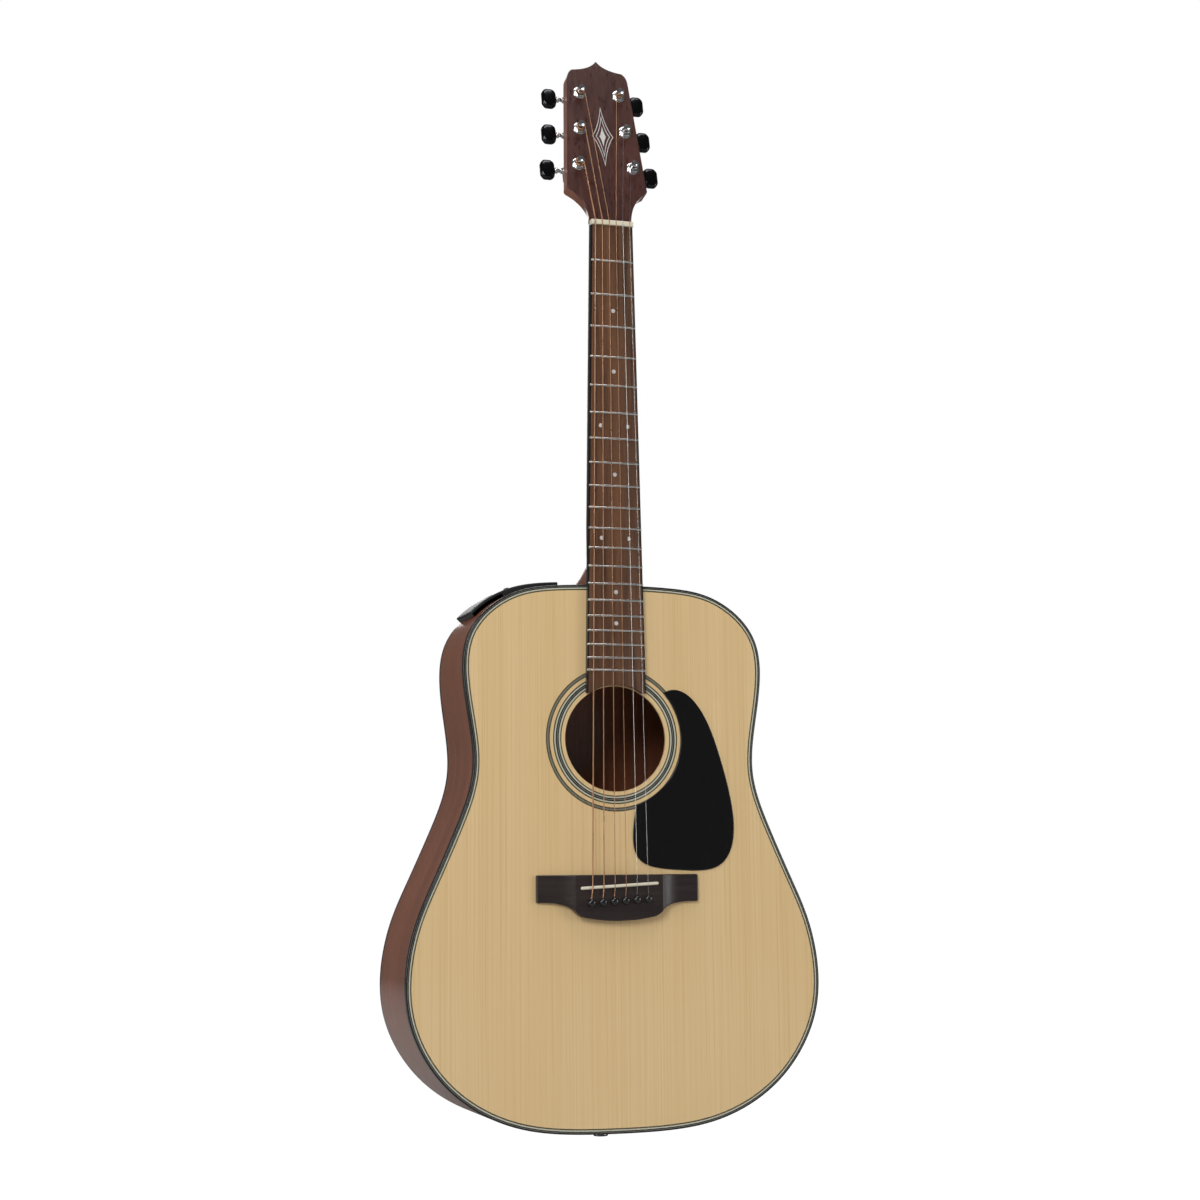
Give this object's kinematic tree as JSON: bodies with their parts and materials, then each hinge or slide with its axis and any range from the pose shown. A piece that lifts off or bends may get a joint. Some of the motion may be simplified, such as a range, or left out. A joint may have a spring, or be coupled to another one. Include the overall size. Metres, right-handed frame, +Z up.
{
  "type": "acoustic guitar",
  "caption": "Steel-string dreadnought acoustic guitar with a pickup: spruce top, mahogany back and sides, turning machine heads, slider preamp in the bass shoulder.",
  "frame": {"origin": "between the padded prongs of a wall hanger, where they meet the underside of the headstock's flare, on the centreline", "axes": "+Z up the neck, -Y the way the soundboard faces, +X the treble side"},
  "size_m": [0.406, 0.1365, 1.0573],
  "materials": {
    "spruce": "gloss lacquer over pale spruce",
    "mahogany": "satin lacquer over mahogany",
    "brace_wood": "bare planed softwood",
    "block_wood": "bare planed hardwood",
    "rosewood": "oiled open-grained rosewood",
    "bridge_rosewood": "dark oiled rosewood",
    "headplate_veneer": "satin dark red-brown rosewood veneer",
    "black_binding": "scraped and polished black plastic",
    "purfling": "laminated light and dark lines under lacquer",
    "rosette_lines": "laminated light and dark rings under lacquer",
    "pickguard_plastic": "gloss black",
    "bone": "polished bone-white",
    "pearl": "pearl",
    "fret_metal": "polished nickel silver",
    "chrome": "polished chrome plate",
    "button_black": "dark polished plate",
    "string_bronze": "phosphor bronze winding over steel",
    "steel": "plain steel",
    "pin_black": "gloss black",
    "preamp_black": "satin black",
    "slider_grey": "satin dark grey",
    "circuit_board": "green board",
    "battery_shell": "plain painted can"
  },
  "bodies": {
    "guitar": {"soundboard": "spruce", "back_plate": "mahogany", "rib_bass": "mahogany", "rib_treble": "mahogany", "binding_top": "black_binding", "binding_back": "black_binding", "purfling_top": "purfling", "rosette": "rosette_lines", "pickguard": "pickguard_plastic", "lining_top": "brace_wood", "lining_back": "brace_wood", "neck_block": "block_wood", "tail_block": "block_wood", "soundboard_braces": "brace_wood", "back_braces": "brace_wood", "bridge_plate": "block_wood", "bridge": "bridge_rosewood", "saddle": "bone", "saddle_pickup": "steel", "bridge_pins": "pin_black", "neck": "mahogany", "truss_rod": "steel", "heel_cap": "black_binding", "fingerboard": "rosewood", "fingerboard_binding": "black_binding", "frets": "fret_metal", "position_dots": "pearl", "nut": "bone", "headstock_veneer": "headplate_veneer", "tuner_housings": "chrome", "tuner_bushings": "chrome", "tuner_screws": "chrome", "strings": "string_bronze", "end_pin_jack": "chrome", "preamp_panel": "preamp_black", "preamp_case": "preamp_black", "preamp_board": "circuit_board", "battery": "battery_shell"},
    "tuner_key_1": {"tuner_shaft_1": "chrome", "tuner_button_1": "button_black"},
    "string_post_1": {"tuner_post_1": "chrome"},
    "tuner_key_2": {"tuner_shaft_2": "chrome", "tuner_button_2": "button_black"},
    "string_post_2": {"tuner_post_2": "chrome"},
    "tuner_key_3": {"tuner_shaft_3": "chrome", "tuner_button_3": "button_black"},
    "string_post_3": {"tuner_post_3": "chrome"},
    "tuner_key_4": {"tuner_shaft_4": "chrome", "tuner_button_4": "button_black"},
    "string_post_4": {"tuner_post_4": "chrome"},
    "tuner_key_5": {"tuner_shaft_5": "chrome", "tuner_button_5": "button_black"},
    "string_post_5": {"tuner_post_5": "chrome"},
    "tuner_key_6": {"tuner_shaft_6": "chrome", "tuner_button_6": "button_black"},
    "string_post_6": {"tuner_post_6": "chrome"},
    "slider_1": {"slider_1": "slider_grey"},
    "slider_2": {"slider_2": "slider_grey"},
    "slider_3": {"slider_3": "slider_grey"},
    "battery_door": {"battery_door": "preamp_black"}
  },
  "joints": [
    {"name": "key_1_turn", "type": "hinge", "parent": "guitar", "child": "tuner_key_1", "pos_m": [-0.038, 0.03537, 0.0322], "axis": [1, 0, 0], "continuous": true},
    {"name": "key_2_turn", "type": "hinge", "parent": "guitar", "child": "tuner_key_2", "pos_m": [-0.0335, 0.04529, 0.07198], "axis": [1, 0, 0], "continuous": true},
    {"name": "key_3_turn", "type": "hinge", "parent": "guitar", "child": "tuner_key_3", "pos_m": [-0.0303, 0.05533, 0.11225], "axis": [1, 0, 0], "continuous": true},
    {"name": "key_4_turn", "type": "hinge", "parent": "guitar", "child": "tuner_key_4", "pos_m": [0.0303, 0.05533, 0.11225], "axis": [1, 0, 0], "continuous": true},
    {"name": "key_5_turn", "type": "hinge", "parent": "guitar", "child": "tuner_key_5", "pos_m": [0.0335, 0.04529, 0.07198], "axis": [1, 0, 0], "continuous": true},
    {"name": "key_6_turn", "type": "hinge", "parent": "guitar", "child": "tuner_key_6", "pos_m": [0.038, 0.03537, 0.0322], "axis": [1, 0, 0], "continuous": true},
    {"name": "post_1_turn", "type": "hinge", "parent": "guitar", "child": "string_post_1", "pos_m": [-0.028, 0.01495, 0.03296], "axis": [0, -0.9703, 0.2419], "continuous": true},
    {"name": "post_2_turn", "type": "hinge", "parent": "guitar", "child": "string_post_2", "pos_m": [-0.0235, 0.02487, 0.07275], "axis": [0, -0.9703, 0.2419], "continuous": true},
    {"name": "post_3_turn", "type": "hinge", "parent": "guitar", "child": "string_post_3", "pos_m": [-0.0203, 0.03491, 0.11301], "axis": [0, -0.9703, 0.2419], "continuous": true},
    {"name": "post_4_turn", "type": "hinge", "parent": "guitar", "child": "string_post_4", "pos_m": [0.0203, 0.03491, 0.11301], "axis": [0, -0.9703, 0.2419], "continuous": true},
    {"name": "post_5_turn", "type": "hinge", "parent": "guitar", "child": "string_post_5", "pos_m": [0.0235, 0.02487, 0.07275], "axis": [0, -0.9703, 0.2419], "continuous": true},
    {"name": "post_6_turn", "type": "hinge", "parent": "guitar", "child": "string_post_6", "pos_m": [0.028, 0.01495, 0.03296], "axis": [0, -0.9703, 0.2419], "continuous": true},
    {"name": "slider_1_move", "type": "slide", "parent": "guitar", "child": "slider_1", "axis": [0, 1, 0], "range_m": [-0.007, 0.007]},
    {"name": "slider_2_move", "type": "slide", "parent": "guitar", "child": "slider_2", "axis": [0, 1, 0], "range_m": [-0.007, 0.007]},
    {"name": "slider_3_move", "type": "slide", "parent": "guitar", "child": "slider_3", "axis": [0, 1, 0], "range_m": [-0.007, 0.007]},
    {"name": "battery_door_swing", "type": "hinge", "parent": "guitar", "child": "battery_door", "pos_m": [-0.13324, 0.057, -0.41125], "axis": [0, -1, 0], "range_deg": [0, 100]}
  ],
  "couplings": [
    {"joint": "post_1_turn", "follows": "key_1_turn", "ratio": 0.071429},
    {"joint": "post_2_turn", "follows": "key_2_turn", "ratio": 0.071429},
    {"joint": "post_3_turn", "follows": "key_3_turn", "ratio": 0.071429},
    {"joint": "post_4_turn", "follows": "key_4_turn", "ratio": 0.071429},
    {"joint": "post_5_turn", "follows": "key_5_turn", "ratio": 0.071429},
    {"joint": "post_6_turn", "follows": "key_6_turn", "ratio": 0.071429}
  ]
}
